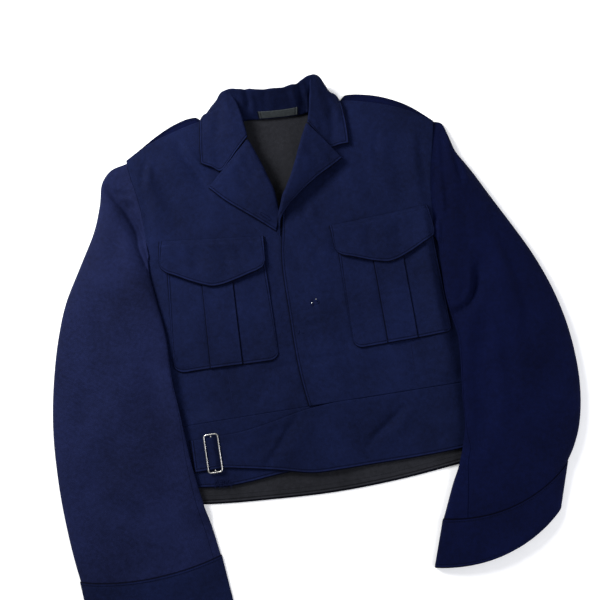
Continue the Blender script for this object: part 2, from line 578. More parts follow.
def stitches(name, paths, material, pitch=3.4, share=0.72, radius=0.3, sunk=0.12):
    """One mesh of thread stitches along lines on the cloth.

    Each stitch is a tube whose radius follows a half sine along it, lying along the line.
    """
    sides, rings = 6, 5
    turn = np.linspace(0, 2 * np.pi, sides, endpoint=False)
    along_it = np.linspace(0, 1, rings)
    swell = radius * np.maximum(np.sin(np.pi * along_it), 0.25)
    verts, faces, start = [], [], 0
    for path in paths:
        length = np.concatenate([[0], np.cumsum(np.linalg.norm(np.diff(path[:, :3], axis=0), axis=1))])
        count = int(length[-1] / pitch)
        if count < 1:
            continue
        at = np.arange(count)[:, None] + 0.5 * (1 - share) + share * along_it[None, :]
        at = at * length[-1] / count
        data = np.stack([np.interp(at, length, path[:, k]) for k in range(6)], axis=2)
        centre, up = data[:, :, :3], data[:, :, 3:]
        ahead = centre[:, -1:] - centre[:, :1]
        ahead = ahead / np.maximum(np.linalg.norm(ahead, axis=2, keepdims=True), 1e-6)
        side = np.cross(ahead, up)
        lift = (np.sin(np.pi * along_it) * 0.25 - sunk)[None, :, None]
        ring = ((centre + up * lift)[:, :, None, :]
                + side[:, :, None, :] * (np.cos(turn)[None, None, :, None] * swell[None, :, None, None])
                + up[:, :, None, :] * (np.sin(turn)[None, None, :, None] * swell[None, :, None, None]))
        grid = start + np.arange(count * rings * sides).reshape(count, rings, sides)
        nxt = np.roll(grid, -1, axis=2)
        faces.append(np.stack([grid[:, :-1], grid[:, 1:], nxt[:, 1:], nxt[:, :-1]], axis=3).reshape(-1, 4))
        verts.append(ring.reshape(-1, 3))
        start += count * rings * sides
    return new_piece(name, np.concatenate(verts), np.concatenate(faces), material)


def spline(knots, at_knots, at):
    """Cubic through knots that are arrays of rows by knots by xyz, at new places across."""
    slope = np.gradient(knots, at_knots, axis=1)
    i = np.clip(np.searchsorted(at_knots, at, side="right") - 1, 0, len(at_knots) - 2)
    span = (at_knots[i + 1] - at_knots[i])[None, :, None]
    t = ((at - at_knots[i]) / (at_knots[i + 1] - at_knots[i]))[None, :, None]
    rest = 1.0 - t
    return (knots[:, i] * (1 + 2 * t) * rest ** 2 + knots[:, i + 1] * (3 - 2 * t) * t ** 2
            + span * (slope[:, i] * t * rest ** 2 - slope[:, i + 1] * t ** 2 * rest))


def declare(node):
    """Says what the piece stands for, and the flat size of its cloth from its grid."""
    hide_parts(node)


def linear(code):
    """Linear colour of an sRGB hex value."""
    value = np.array([int(code[i:i + 2], 16) for i in (0, 2, 4)]) / 255
    return (*np.where(value <= 0.04045, value / 12.92, ((value + 0.055) / 1.055) ** 2.4), 1.0)


def feed(tree, made, inputs):
    """Links the sockets given for a node's inputs, and sets the plain values."""
    for key, value in inputs.items():
        if isinstance(value, bpy.types.NodeSocket):
            tree.links.new(value, made.inputs[key])
        else:
            made.inputs[key].default_value = value


def node(tree, kind, inputs, stops=(), smooth=False, **settings):
    """Adds one shader node with its settings, its inputs and, on a ramp, its stops.

    A stop is a place and a colour, or a plain number for a grey.
    """
    made = tree.nodes.new("ShaderNode" + kind)
    for key, value in settings.items():
        setattr(made, key, value)
    feed(tree, made, inputs)
    if smooth:
        made.color_ramp.interpolation = "EASE"
    for k, (place, colour) in enumerate(stops):
        stop = made.color_ramp.elements[k] if k < 2 else made.color_ramp.elements.new(place)
        stop.position = place
        stop.color = colour if isinstance(colour, tuple) else (colour, colour, colour, 1.0)
    return made


def new_material(name):
    """A new material with its node tree and its shader."""
    made = bpy.data.materials.new(name)
    made.use_nodes = True
    return made, made.node_tree, made.node_tree.nodes["Principled BSDF"]


def cloth_material(name, colours, rib, rib_high, rough, sheen, slant=45.0, sewn=True):
    """Woven cloth: ribs of a given pitch and height, fibre fuzz, soft mottling and sewn edges.

    Colours run from the shade between the ribs to the loose fibres on top. Ribs and fuzz follow
    the vector "weave", in millimetres along the cloth, and "rim" is the distance from a sewn edge,
    also in millimetres: a line of shade beside the edge, the ridge of the turned-in cloth, and
    the groove that the stitches draw, up to 6 mm in.
    """
    dark, body, light = (linear(code) for code in colours)
    made, tree, shader = new_material(name)
    weave = node(tree, "Attribute", {}, attribute_name="weave").outputs["Vector"]
    place = node(tree, "TexCoord", {}).outputs["Object"]
    turned = node(tree, "Mapping", {"Vector": weave, "Rotation": (0, 0, np.radians(slant))}).outputs[0]
    ribs = node(tree, "TexWave", {"Vector": turned, "Scale": WAVE_OF_ONE / rib, "Distortion": 2.2,
                                  "Detail": 3.0, "Detail Scale": 1.1}).outputs["Fac"]
    fuzz, slub, patches = (
        node(tree, "TexNoise", dict(zip(("Vector", "Scale", "Detail", "Roughness"), row))).outputs["Fac"]
        for row in ((weave, FUZZ, 5.0, 0.7), (place, SLUB, 6.0, 0.72), (place, PATCHES, 4.0, 0.6)))
    ribbed = node(tree, "Mix", {0: 0.3, 2: fuzz, 3: ribs}, data_type="FLOAT").outputs[0]
    tones = ((0.22, dark), (0.5, body), (0.8, light))
    tone = node(tree, "ValToRGB", {"Fac": ribbed}, tones).outputs["Color"]
    mottled = node(tree, "Math", {0: slub, 1: patches}, operation="ADD").outputs[0]
    mottled = node(tree, "Math", {0: mottled, 1: 0.5}, operation="MULTIPLY").outputs[0]
    shades = ((0.36, 0.62), (0.5, 1.0), (0.64, 1.4))
    shade = node(tree, "ValToRGB", {"Fac": mottled}, shades).outputs["Color"]
    multiply = dict(data_type="RGBA", blend_type="MULTIPLY")
    colour = node(tree, "Mix", {0: 1.0, 6: tone, 7: shade}, **multiply).outputs[2]
    bump = node(tree, "Bump", {"Height": ribbed, "Distance": rib_high * MM, "Strength": 1.0}).outputs[0]
    bump = node(tree, "Bump", {"Height": slub, "Distance": 1.1 * MM, "Strength": 0.35,
                               "Normal": bump}).outputs[0]
    if sewn:
        rim = node(tree, "Attribute", {}, attribute_name="rim").outputs["Fac"]
        # The ramps run over the first 10 mm
        rim = node(tree, "Math", {0: rim, 1: 0.1}, operation="MULTIPLY").outputs[0]
        groove = node(tree, "ValToRGB", {"Fac": rim}, GROOVE, smooth=True).outputs["Color"]
        edge = node(tree, "ValToRGB", {"Fac": rim}, EDGE_SHADE, smooth=True).outputs["Color"]
        bump = node(tree, "Bump", {"Height": groove, "Distance": 1.1 * MM, "Strength": 0.9,
                                   "Normal": bump}).outputs[0]
        colour = node(tree, "Mix", {0: 1.0, 6: colour, 7: edge}, **multiply).outputs[2]
    feed(tree, shader, {"Base Color": colour, "Normal": bump, "Roughness": rough, "IOR": 1.45,
                        "Specular IOR Level": 0.07, "Sheen Weight": sheen, "Sheen Roughness": 0.45,
                        "Sheen Tint": light})
    return made


def wool_serge(name, colours, rough=0.86, sheen=0.3, sewn=True):
    """Milled wool serge, a twill of dyed yarn with a short nap.

    To the eye it is matt and nearly black between its ribs, with a blue bloom where loose fibres
    catch the light. Real ribs are about 0.5 mm apart. They are drawn at 1.1 mm, so that they show.
    """
    return cloth_material(name, colours, 1.1, 0.16, rough, sheen, sewn=sewn)


def plated_steel():
    """Drawn steel wire with bright plating: soft gloss, gone dull in specks of about 2 mm."""
    made, tree, shader = new_material("plated_steel_wire")
    place = node(tree, "TexCoord", {}).outputs["Object"]
    wear = node(tree, "TexNoise", {"Vector": place, "Scale": 420.0, "Detail": 4.0}).outputs["Fac"]
    plating = ((0.3, linear("B9B7B0")), (0.7, linear("E8E7E3")))
    colour = node(tree, "ValToRGB", {"Fac": wear}, plating).outputs["Color"]
    rough = node(tree, "ValToRGB", {"Fac": wear}, ((0.3, 0.38), (0.7, 0.2))).outputs["Color"]
    bump = node(tree, "Bump", {"Height": wear, "Distance": 0.08 * MM, "Strength": 0.5}).outputs[0]
    feed(tree, shader, {"Base Color": colour, "Roughness": rough, "Normal": bump, "Metallic": 1.0})
    return made


def thread_material(name, code):
    """Spun sewing thread of two plies: matt, light and dark by turns along its twist, 0.4 mm apart."""
    made, tree, shader = new_material(name)
    place = node(tree, "TexCoord", {}).outputs["Object"]
    ply = node(tree, "TexNoise", {"Vector": place, "Scale": 2600.0, "Detail": 2.0}).outputs["Fac"]
    dim = tuple(c * 0.6 for c in linear(code)[:3]) + (1.0,)
    colour = node(tree, "ValToRGB", {"Fac": ply}, ((0.35, dim), (0.65, linear(code)))).outputs["Color"]
    bump = node(tree, "Bump", {"Height": ply, "Distance": 0.1 * MM, "Strength": 0.6}).outputs[0]
    feed(tree, shader, {"Base Color": colour, "Normal": bump, "Roughness": 0.85, "Specular IOR Level": 0.1})
    return made


def floor_material():
    """Matt white studio card with a grain of 17 mm, and a faint glow for the bright room round it."""
    made, tree, shader = new_material("matt_white_card")
    place = node(tree, "TexCoord", {}).outputs["Object"]
    grain = node(tree, "TexNoise", {"Vector": place, "Scale": 60.0, "Detail": 4.0}).outputs["Fac"]
    card = ((0.3, linear("F4F4F4")), (0.7, linear("F9F9F9")))
    colour = node(tree, "ValToRGB", {"Fac": grain}, card).outputs["Color"]
    feed(tree, shader, {"Base Color": colour, "Roughness": 0.9, "Emission Color": linear("FFFFFF"),
                        "Emission Strength": 0.22})
    return made


def front_plan(side, edge):
    """Plan grid of a front: rows from the waist up to the shoulder, columns edge to side."""
    hole = ARMHOLE[side]
    v = steps(hole["high"][1] - WAIST_Y, 3.6)[:, None]
    u = steps(235.0, 3.4)[None, :]
    top_in = np.interp(304, edge["y"], edge["x"])
    top_y = shoulder_y(top_in + (hole["high"][0] - top_in) * u)
    y = WAIST_Y - 0.4 + (top_y - WAIST_Y + 0.4) * v
    inner = through(edge["y"], edge["x"], y)
    # A little more cloth below the armhole, under the sleeve
    under_arm = UNDER_SLEEVE * ease((hole["low"][1] + 7 - y) / 12.0) * ease((y - WAIST_Y) / 20.0)
    x = inner + (panel_side_x(y, side) + SIGN[side] * under_arm - inner) * u
    return (x[:, ::-1], y[:, ::-1]) if side == "right" else (x, y)


def puckers(x, y):
    """Small crosswise puckers along the waist seam: waves across it that fade within 14 mm."""
    off = np.abs(y - WAIST_Y)
    wave = np.sin(x / 2.6 + 1.7 * np.sin(x / 11.0)) * (0.6 + 0.4 * np.sin(x / 17.0))
    return 0.32 * wave * np.exp(-(off / 7.0) ** 2)


def dart_fold(x, y):
    """Stitched darts above the waist: a narrow groove on each front, fading upward."""
    total = np.zeros(x.shape)
    for line in DARTS.values():
        near, where, _ = line_distance(line, x, y)
        total -= DART_DEEP * np.exp(-(near / 2.6) ** 2) * ease(0.3 + where)
    return total


def build_front(side, edge, material):
    """A front: its plan grid at the height of its under face, with darts and puckers on it."""
    x, y = front_plan(side, edge)
    relief = dart_fold(x, y) + puckers(x, y)
    piece, top = laid("jacket_front_" + side, x, y, LOW[side](x, y), SERGE, material, (side,), relief)
    declare("front_" + side)
    return top


def full_width(y_rows, inset, u):
    """Rows across the body, from an inset within one side to the same within the other."""
    left = panel_side_x(y_rows, "right") + inset
    right = panel_side_x(y_rows, "left") - inset
    return left + (right - left) * u


def build_back(material):
    """Back: flat on the surface between its side seams, raised only over the shoulder straps."""
    v = steps(420.0, 4.5)[:, None]
    u = steps(500.0, 5.0)[None, :]
    ends = ARMHOLE["right"]["high"][0], ARMHOLE["left"]["high"][0]
    top_y = shoulder_y(ends[0] + (ends[1] - ends[0]) * u)
    y = WAIST_Y + (top_y - WAIST_Y) * v
    x = full_width(y, 0.0, u)
    piece, top = laid("jacket_back", x, y, strap_room(x, y), SERGE, material, ())
    declare("back")


def build_back_band(material):
    """Back waistband: rows from the curve of its hem up to the waist seam, flat on the surface."""
    u = steps(490.0, 4.5)[None, :]
    x = full_width(np.full((1, 1), -200.0), 0.0, u)
    hem = through(BACK_HEM["x"], BACK_HEM["y"], x)
    y = hem + (WAIST_Y - SEAM - hem) * steps(120.0, 4.5)[:, None]
    x = full_width(y, 0.0, u)
    piece, top = laid("jacket_back_waistband", x, y, np.zeros(x.shape), SERGE, material, ("foot",))
    declare("waistband_back")


def build_lining(material):
    """Lining: a sheet inset on the back, from its hem up to a curve across the neck."""
    u = steps(440.0, 4.0)[None, :]
    v = steps(540.0, 4.0)[:, None]
    guide = full_width(np.full((1, 1), -250.0), LINING_INSET, u)
    foot = through(BACK_HEM["x"], BACK_HEM["y"], guide) + 1.5
    high = np.interp(np.abs(u - 0.5) * 2, (0, .24, .4, .7, 1), (291, 291, 282, 252, 205))
    y = foot + (high - foot) * v
    x = full_width(y, LINING_INSET, u)
    low = strap_room(x, y) + SERGE + 0.45 + folds("lining", x, y) * 0.6 + 0.3 * ease((y - 150) / 60)
    piece, top = laid("jacket_lining", x, y, low, LINING_WALL, material, ("foot",))
    declare("back_lining")
    return top


def build_lapel(side, material):
    """Section of the lapel: free edge, rise to the roll, and round it down to the front."""
    table = LAPEL[side]
    v = steps(130.0, 2.2)[:, None]
    get = {name: through(table["at"], table[name], v) for name in table if name != "at"}
    wide = np.hypot(get["edge_x"] - get["roll_x"], get["edge_y"] - get["roll_y"])
    # How far its edge stands off the front
    off = {"right": 1.6, "left": 7.0}[side] * ease(v / 0.35)
    rest = LOW[side](get["edge_x"], get["edge_y"]) + SERGE + SEAM + COLLAR_WALL / 2 + 0.2 + off
    rise = get["rise"]
    crest = rest + rise
    # Distance from the roll line and height: a smooth slope, then a round turn down to the front
    turn = np.minimum(3.2, wide * 0.35)
    q = np.array([0, .18, .36, .54, .72, .88, 1.0])
    foot = LOW[side](get["roll_x"], get["roll_y"]) + 1.1
    if side == "right":
        foot = foot + (SERGE + COLLAR_WALL / 2 + SEAM) * (1 - ease(v / .2))
    out = np.concatenate([wide + (turn - wide) * q, turn * .5, turn * .12, 0 * wide, 0 * wide], axis=1)
    z = np.concatenate([rest + rise * (1 - (1 - q) ** 1.5), crest - .5, crest - 1.5, crest - 2.8,
                        np.minimum(crest - 3.6, foot)], axis=1)
    x = get["roll_x"] + (get["edge_x"] - get["roll_x"]) / wide * out
    y = get["roll_y"] + (get["edge_y"] - get["roll_y"]) / wide * out
    knots = np.stack([x, y, z], axis=2)
    places = np.array([0, .15, .3, .45, .6, .73, .82, .87, .91, .95, 1.0])
    middle = spline(knots, places, steps(78.0, 1.9))
    if side == "left":
        middle = middle[:, ::-1]
    normal = face_normals(middle)
    x, y = middle[:, :, 0], middle[:, :, 1]
    middle = middle + normal * (1.7 * folds("lapels", x, y) + worn(x, y, 5.5, 0.5))[:, :, None]
    # The lower end thins out into the front edge
    half = (COLLAR_WALL / 2 * (0.25 + 0.75 * ease(v / 0.22)))[:, :, None]
    low, top = middle - normal * COLLAR_WALL / 2, middle + normal * (2 * half - COLLAR_WALL / 2)
    free = "left" if side == "right" else "right"
    piece = cloth("jacket_lapel_" + side, low, top, material, (free,))
    declare("lapel_" + side)
    return top


def collar_knots(v):
    """Seam of the stand, fold, middle and edge of the leaf, at fractions round the neck."""
    get = {name: along(COLLAR, name, v) for name in COLLAR}
    seat = SERGE + SEAM + COLLAR_WALL / 2 + 0.3
    on_edge = front_low(get["edge_x"], get["edge_y"]) + seat + 1.2 + 1.8 * ease((get["edge_x"] - 20) / 60)
    on_base = front_low(get["base_x"], get["base_y"]) + seat
    get["edge_z"] = np.maximum(get["edge_z"], np.where(get["edge_y"] < 309, on_edge, 0))
    get["base_z"] = np.maximum(get["base_z"], np.where(np.abs(get["base_x"] - 6) > 50, on_base, 7.4))
    return [np.stack([get[line + axis] for axis in ("_x", "_y", "_z")], axis=2)
            for line in ("base", "fold", "leaf", "edge")]


def between(a, b, t, up=0.0):
    """Points at a fraction of the way from a to b, and so much higher."""
    return a + (b - a) * t + np.array([0, 0, up])


def build_collar(material):
    """Collar: at each place round the neck a cubic from the leaf's edge over the fold to its seam."""
    base, fold, leaf, edge = collar_knots(steps(520.0, 2.6)[:, None])
    rows = [edge, between(leaf, edge, .5, .3), leaf, between(fold, leaf, .7, .9),
            between(fold, leaf, .4, 1.2), between(fold, leaf, .12, .2), fold, between(base, fold, .92, .2),
            between(base, fold, .7, .8), between(base, fold, .35, .6), base]
    knots = np.concatenate(rows, axis=1)
    places = np.array([0, .14, .28, .38, .49, .59, .64, .68, .76, .88, 1.0])
    middle = spline(knots, places, steps(92.0, 1.9))
    normal = face_normals(middle)
    x, y = middle[:, :, 0], middle[:, :, 1]
    middle = middle + normal * (1.6 * folds("collar", x, y) + worn(x, y, 5.5, 0.6))[:, :, None]
    low, top = middle - normal * COLLAR_WALL / 2, middle + normal * COLLAR_WALL / 2
    piece = cloth("jacket_collar", low, top, material, ("left", "foot", "head"))
    declare("collar")
    return top


def build_pocket(side, material):
    """Patch bag with a box pleat: its face stands up between the two fold lines.

    Columns crowd at the fold lines. The foot is the straight line of the table with a quarter
    circle at each corner, and the face swells as a product of half sines.
    """
    table = POCKET[side]
    a, b = PLEAT
    (tx0, ty0), (tx1, ty1) = table["top"]
    (fx0, fy0), (fx1, fy1) = table["foot"]
    wide = fx1 - fx0
    even = steps(wide, 2.6)
    crowd = np.array([-3.0, -1.6, -.9, -.45, -.15, .15, .45, .9, 1.6, 3.0]) / wide
    folded = np.concatenate([a + crowd, b + crowd])
    keep = (np.abs(even - a) * wide > 3.6) & (np.abs(even - b) * wide > 3.6)
    u = np.sort(np.concatenate([even[keep], folded]))
    v = steps(170.0, 2.6)[:, None]
    (r0, h0), (r1, h1) = table["round"]
    near0 = np.clip(1 - u * wide / r0, 0, 1)
    near1 = np.clip(1 - (1 - u) * wide / r1, 0, 1)
    lift = h0 * (1 - np.sqrt(1 - near0 ** 2)) + h1 * (1 - np.sqrt(1 - near1 ** 2))
    foot_y = fy0 + (fy1 - fy0) * u + lift
    top_y = ty0 + (ty1 - ty0) * u
    y = foot_y + (top_y - foot_y) * v
    left, right = fx0 + (tx0 - fx0) * v, fx1 + (tx1 - fx1) * v
    x = left + (right - left) * u
    reach = np.minimum(u - a, b - u) * wide
    pleat = PLEAT_RISE * np.clip(0.5 + reach / 0.7, 0, 1) + 0.5 * np.exp(-((reach - 1.2) / 1.3) ** 2)
    pleat = pleat - 0.5 * np.exp(-((reach + 1.1) / 1.1) ** 2)
    belly = 0.9 * np.sin(np.pi * np.clip(v, 0, 1)) * np.sin(np.pi * u) ** 0.7
    low = LOW[side](x, y) + SERGE + SEAM + 0.15
    bottom = np.stack([x, y, low], axis=2)
    top = bottom + np.array([0, 0, BAG_WALL])
    top[:, :, 2] += pleat + belly + 1.2 * folds("bags", x, y) + worn(x, y, 8.0, 0.5)
    off = np.abs(reach + 0.35)
    creased = np.where(off < 1.2, 0.3 + off * 1.1, FAR) + 0 * x
    sewn = ("left", "right", "foot")
    piece = cloth("jacket_pocket_" + side, bottom, top, material, sewn, creased=creased)
    declare("pocket_" + side)
    return top


def build_flap(side, material):
    """Flap: columns square to its top edge, as long as the depth table says, laid over the bag."""
    start = np.array(FLAP[side]["start"], float)
    end = np.array(FLAP[side]["end"], float)
    span = np.linalg.norm(end - start)
    u = steps(span, 2.2)
    deep = through(FLAP_DEPTH["at"], FLAP_DEPTH["deep"], u)
    e = (end - start) / span
    down = np.array([e[1], -e[0]])
    v = steps(55.0, 1.9)[::-1][:, None]
    reach = deep * v
    x = start[0] + (end - start)[0] * u + down[0] * reach
    y = start[1] + (end - start)[1] * u + down[1] * reach
    over_bag = BAG_WALL + PLEAT_RISE + SEAM
    low = LOW[side](x, y) + SERGE + SEAM + 0.3 + over_bag * ease((reach - 1.0) / 9.0)
    low = low + 1.8 * ease((reach - 25) / 30) + 1.4 * folds("flaps", x, y) * ease(reach / 12)
    # The seam under the flap's top edge: a ridge, then the line of stitches
    head = -0.8 * np.exp(-((reach - 5.6) / 1.1) ** 2) + 0.4 * np.exp(-((reach - 2.6) / 1.6) ** 2)
    bottom = np.stack([x, y, low], axis=2)
    top = bottom + np.array([0, 0, SERGE])
    top[:, :, 2] += head
    piece = cloth("jacket_flap_" + side, bottom, top, material, ("left", "right", "foot"))
    declare("flap_" + side)
    return top


def band_low(x, y):
    """Under face of the over waistband: a step over the other front, a bump over the bar."""
    bump = BUCKLE_BUMP * (1 - ease((np.abs(x - BUCKLE_X) - 1.6) / 6.8))
    return front_low(x, y) + BAND_STEP * overlap(x) + bump


def build_bands(material):
    """The front waistbands: under, from hem curve to waist seam; over, the outline of its table."""
    v = steps(90.0, 2.8)[:, None]
    reach = float(side_seam_x(-200.0, "right"))
    x = reach + (26 - reach) * steps(240.0, 3.4)[None, :]
    hem = through(UNDER_HEM["x"], UNDER_HEM["y"], x)
    y = hem + (WAIST_Y - SEAM - hem) * v
    x = x + 0 * y
    low = front_low(x, y)
    piece, under = laid("jacket_waistband_right", x, y, low, BAND_WALL - 0.1, material, ("foot",))
    declare("waistband_right")
    far = float(side_seam_x(-200.0, "left"))
    even = -189 + (far + 189) * steps(far + 189.0, 3.4)
    near = BUCKLE_X + np.linspace(-11, 11, 23)
    x = np.sort(np.concatenate([even[np.abs(even - BUCKLE_X) > 12], near]))[None, :]
    top = through(BAND["x"], BAND["top"], x)
    foot = through(BAND["x"], BAND["foot"], x)
    y = foot + (top - foot) * v
    x = x + 0 * y
    piece, over = laid("jacket_waistband_left", x, y, band_low(x, y), BAND_WALL, material, ("foot", "left"))
    declare("waistband_left")
    return under, over


def tube(path, radius, sides, closed):
    """Points of a round wire along a path: rings square to it, turned by the path's own plane."""
    ahead = np.roll(path, -1, axis=0) - np.roll(path, 1, axis=0) if closed else np.gradient(path, axis=0)
    ahead = ahead / np.linalg.norm(ahead, axis=1, keepdims=True)
    side = np.cross(ahead, np.array([0, 0, 1.0]))
    side = side / np.linalg.norm(side, axis=1, keepdims=True)
    up = np.cross(side, ahead)
    turn = np.linspace(0, 2 * np.pi, sides, endpoint=False)
    radius = np.broadcast_to(np.asarray(radius, float), (len(path),))
    return (path[:, None] + side[:, None] * (np.cos(turn)[None, :, None] * radius[:, None, None])
            + up[:, None] * (np.sin(turn)[None, :, None] * radius[:, None, None]))


def tube_faces(rows, sides, closed, start=0):
    """Quads between the rings of a tube whose first point has the number start."""
    grid = start + np.arange(rows * sides).reshape(rows, sides)
    if closed:
        grid = np.concatenate([grid, grid[:1]], axis=0)
    nxt = np.roll(grid, -1, axis=1)
    return np.stack([grid[:-1], grid[1:], nxt[1:], nxt[:-1]], axis=2).reshape(-1, 4)


def build_buckle(material):
    """A wire frame bent to a rounded rectangle, with a bar across its middle.

    The outline is four quarter circles, joined by straight runs that are cut in twelve, so that
    the wire follows the cloth under it.
    """
    corner, frame_sides, bar_sides, bar_rings = 4.0, 14, 12, 15
    turn = np.linspace(0, np.pi / 2, 9) + np.arange(4)[:, None] * np.pi / 2
    sign_x, sign_y = np.array([[1, -1, -1, 1], [1, 1, -1, -1]])[:, :, None]
    plan = np.stack([sign_x * (BUCKLE_WIDE / 2 - corner) + corner * np.cos(turn),
                     sign_y * (BUCKLE_TALL / 2 - corner) + corner * np.sin(turn)], axis=2).reshape(-1, 2)
    steps_in = np.linspace(0, 1, 12, endpoint=False)[None, :, None]
    path = (plan[:, None] * (1 - steps_in) + np.roll(plan, -1, axis=0)[:, None] * steps_in)
    gap = np.linalg.norm(np.roll(plan, -1, axis=0) - plan, axis=1)
    path = np.concatenate([path[k, :1] if gap[k] < 2 else path[k] for k in range(len(plan))])
    x, y = BUCKLE_X + path[:, 0], BUCKLE_Y + path[:, 1]
    seat = BAND_STEP + BAND_WALL + 0.5 + WIRE
    path = np.stack([x, y, front_low(x, y) + seat], axis=1)
    y = BUCKLE_Y + np.linspace(-1, 1, bar_rings) * (BUCKLE_TALL / 2 - 2.0)
    x = BUCKLE_X + 0 * y
    bar = np.stack([x, y, front_low(x, y) + seat - 0.5], axis=1)
    points = np.concatenate([tube(path, WIRE, frame_sides, True).reshape(-1, 3),
                             tube(bar, WIRE * 0.9, bar_sides, False).reshape(-1, 3)])
    faces = np.concatenate([tube_faces(len(path), frame_sides, True),
                            tube_faces(bar_rings, bar_sides, False, len(path) * frame_sides)])
    piece = new_piece("strap_buckle", points, faces, material)
    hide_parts("buckle")


def build_hanger(material):
    """Neck tape: a strip set off the inner face of the collar's stand, between two heights on it."""
    at = HANGER["start"] + steps(78.0, 2.2)[:, None] * (HANGER["end"] - HANGER["start"])
    base, fold = collar_knots(at)[:2]
    low = between(base, fold, HANGER["low"], .2)
    high = between(base, fold, HANGER["high"], .45)
    rows = [between(low, high, t) for t in steps(9.0, 1.0, (0, .25, .7, 1.4))]
    middle = np.concatenate(rows, axis=1).transpose(1, 0, 2)
    normal = face_normals(middle)
    seat = COLLAR_WALL / 2 + SEAM + 0.1
    top = middle + normal * (seat + HANGER["wall"])
    piece = cloth("neck_hanger_tape", middle + normal * seat, top, material, ("left", "right"), edge=0.6)
    declare("hanger_loop")


def build_strap(side, material):
    """Shoulder strap: a strip along the shoulder line, past it above and under the cloth below."""
    end = abs(ARMHOLE[side]["high"][0] - SHOULDER_CENTRE) - 1.5
    u = steps(end - STRAP["start"], 3.0)[None, :]
    x = SHOULDER_CENTRE + SIGN[side] * (STRAP["start"] + (end - STRAP["start"]) * u)
    edge = shoulder_y(x)
    high = edge + through(STRAP["at"], STRAP["past"][side], u)
    foot = edge + through(STRAP["at"], STRAP["under"], u)
    y = foot + (high - foot) * steps(46.0, 3.0)[:, None]
    x = x + 0 * y
    if side == "right":
        x, y = x[:, ::-1], y[:, ::-1]
    piece, top = laid("shoulder_strap_cloth_" + side, x, y, np.zeros(x.shape), STRAP_ROOM - SEAM, material,
                      ("head", side))
    declare("shoulder_strap_" + side)
    return top


def sleeve_rest(x, y, side):
    """Height on which a sleeve lies: the body under its inner side, else the surface.

    Smooth steps carry it from the one to the other across the side seam, above the armhole's
    foot and below the hem. The right sleeve also rides over the strap beside the buckle.
    """
    hole = ARMHOLE[side]
    past = SIGN[side] * (x - panel_side_x(y, side))
    skirt = 1 - ease((past - 14) / 40.0)
    cover = skirt * ease((hole["low"][1] + 50 - y) / 40.0) * ease((y + 302) / 28.0)
    lift = 1.5 * ease((60 - y) / 90.0)
    if side == "right":
        lift = lift * 1.5 + 4.5 * ease((-30 - y) / 60.0) * ease((y + 190) / 36.0)
        lift = lift + 1.4 * ease((-150 - y) / 24.0) * ease((y + 262) / 24.0)
    return (front_low(x, y) + BAND_WALL + SLEEVE_CLEAR[side] + lift) * cover


def sleeve_ring(side, s, angle, grow=0.0):
    """Points of the sleeve at fractions s of its length and ring angles.

    The plan runs from inner to outer edge as (1 - cos) / 2, bowed toward the body at the
    armhole and toward the hand at the cuff. The lower half lies on what is under it; the
    upper half is a flattened arch.
    """
    table = SLEEVE[side]
    in_x, in_y = along(table, "in_x", s), along(table, "in_y", s)
    out_x, out_y = along(table, "out_x", s), along(table, "out_y", s)
    tall = along(table, "tall", s)
    w = (1 - np.cos(angle)) / 2
    length = np.hypot(out_x - in_x, out_y - in_y)
    ex, ey = (out_x - in_x) / length, (out_y - in_y) / length
    reach = w * length + grow * (2 * w - 1)
    head = along(table, "bow", s) * (s < 0.3) * np.sin(np.pi * w) ** 2
    tail = along(table, "bow", s) * (s >= 0.3) * 4 * w * (1 - w)
    x = in_x + ex * reach + head - ey * tail
    y = in_y + ey * reach + ex * tail
    # Close on the armhole
    x = x - SIGN[side] * 1.5 * (1 - ease(s / 0.06))
    rest = sleeve_rest(x, y, side)
    seat = front_low(x, y) + SERGE
    uneven = worn(x - 7, y + 12, 17.0, 1.2) + worn(x + 31, y - 5, 6.5, 0.3)
    creased = folds("sleeves", x, y) + 1.35 * folds("arms", x, y) + uneven
    top = seat + (tall - seat) * ease(s / 0.16) + creased * ease(s / 0.05)
    fold = FOLD_RADIUS[side] * (0.25 + 0.75 * ease(s / 0.1))
    top = np.maximum(top, rest + 2 * fold - 0.5)
    f = np.abs(np.sin(angle))
    under = rest + fold * (1 - np.minimum(1, f / .55)) ** 2 - grow
    full = np.where(w < 0.5, INNER_FULL[side], OUTER_FULL)
    over = rest + fold + (top + grow - rest - fold) * f ** full
    z = np.where(np.sin(angle) >= 0, over, np.maximum(under, 0))
    return np.stack([x, y, z], axis=2)


def ring_normals(side, s, angle):
    """Outward unit normals of the sleeve, from small steps round it and along it."""
    step = 0.012
    around = sleeve_ring(side, s, angle + step) - sleeve_ring(side, s, angle - step)
    ahead, behind = np.minimum(s + step, 1), np.maximum(s - step, 0)
    down = sleeve_ring(side, ahead, angle) - sleeve_ring(side, behind, angle)
    n = np.cross(around, down) * -SIGN[side]
    return n / np.maximum(np.linalg.norm(n, axis=2, keepdims=True), 1e-9)


def ring_angles(side, s, part):
    """Ring angles of the top or the under sleeve, with a slit at both seams."""
    seam = through(SLEEVE_SEAM_TOP["at"], SLEEVE_SEAM_TOP[side], s)
    back = np.pi + SLEEVE_SEAM_BACK
    slit = 0.002 + 0.004 * np.clip(1 - s / 0.2, 0, 1)
    if part == "top":
        return seam + slit + (back - seam - 2 * slit) * steps(200.0, 3.2)
    return back + slit + (2 * np.pi + seam - back - 2 * slit) * steps(200.0, 3.6)


def build_sleeve(side, material):
    """Top and under sleeve, parted at the forearm seam and at the back seam."""
    s = steps(430.0, 3.6)[:, None]
    for part in ("top", "under"):
        angle = ring_angles(side, s, part)
        outer = sleeve_ring(side, s, angle)
        inner = outer - ring_normals(side, s, angle) * SLEEVE_WALL
        if side == "left":
            inner, outer = inner[:, ::-1], outer[:, ::-1]
        piece = cloth("jacket_sleeve_" + part + "_" + side, inner, outer, material, (), edge=0.2)
        declare("sleeve_" + part + "_" + side)


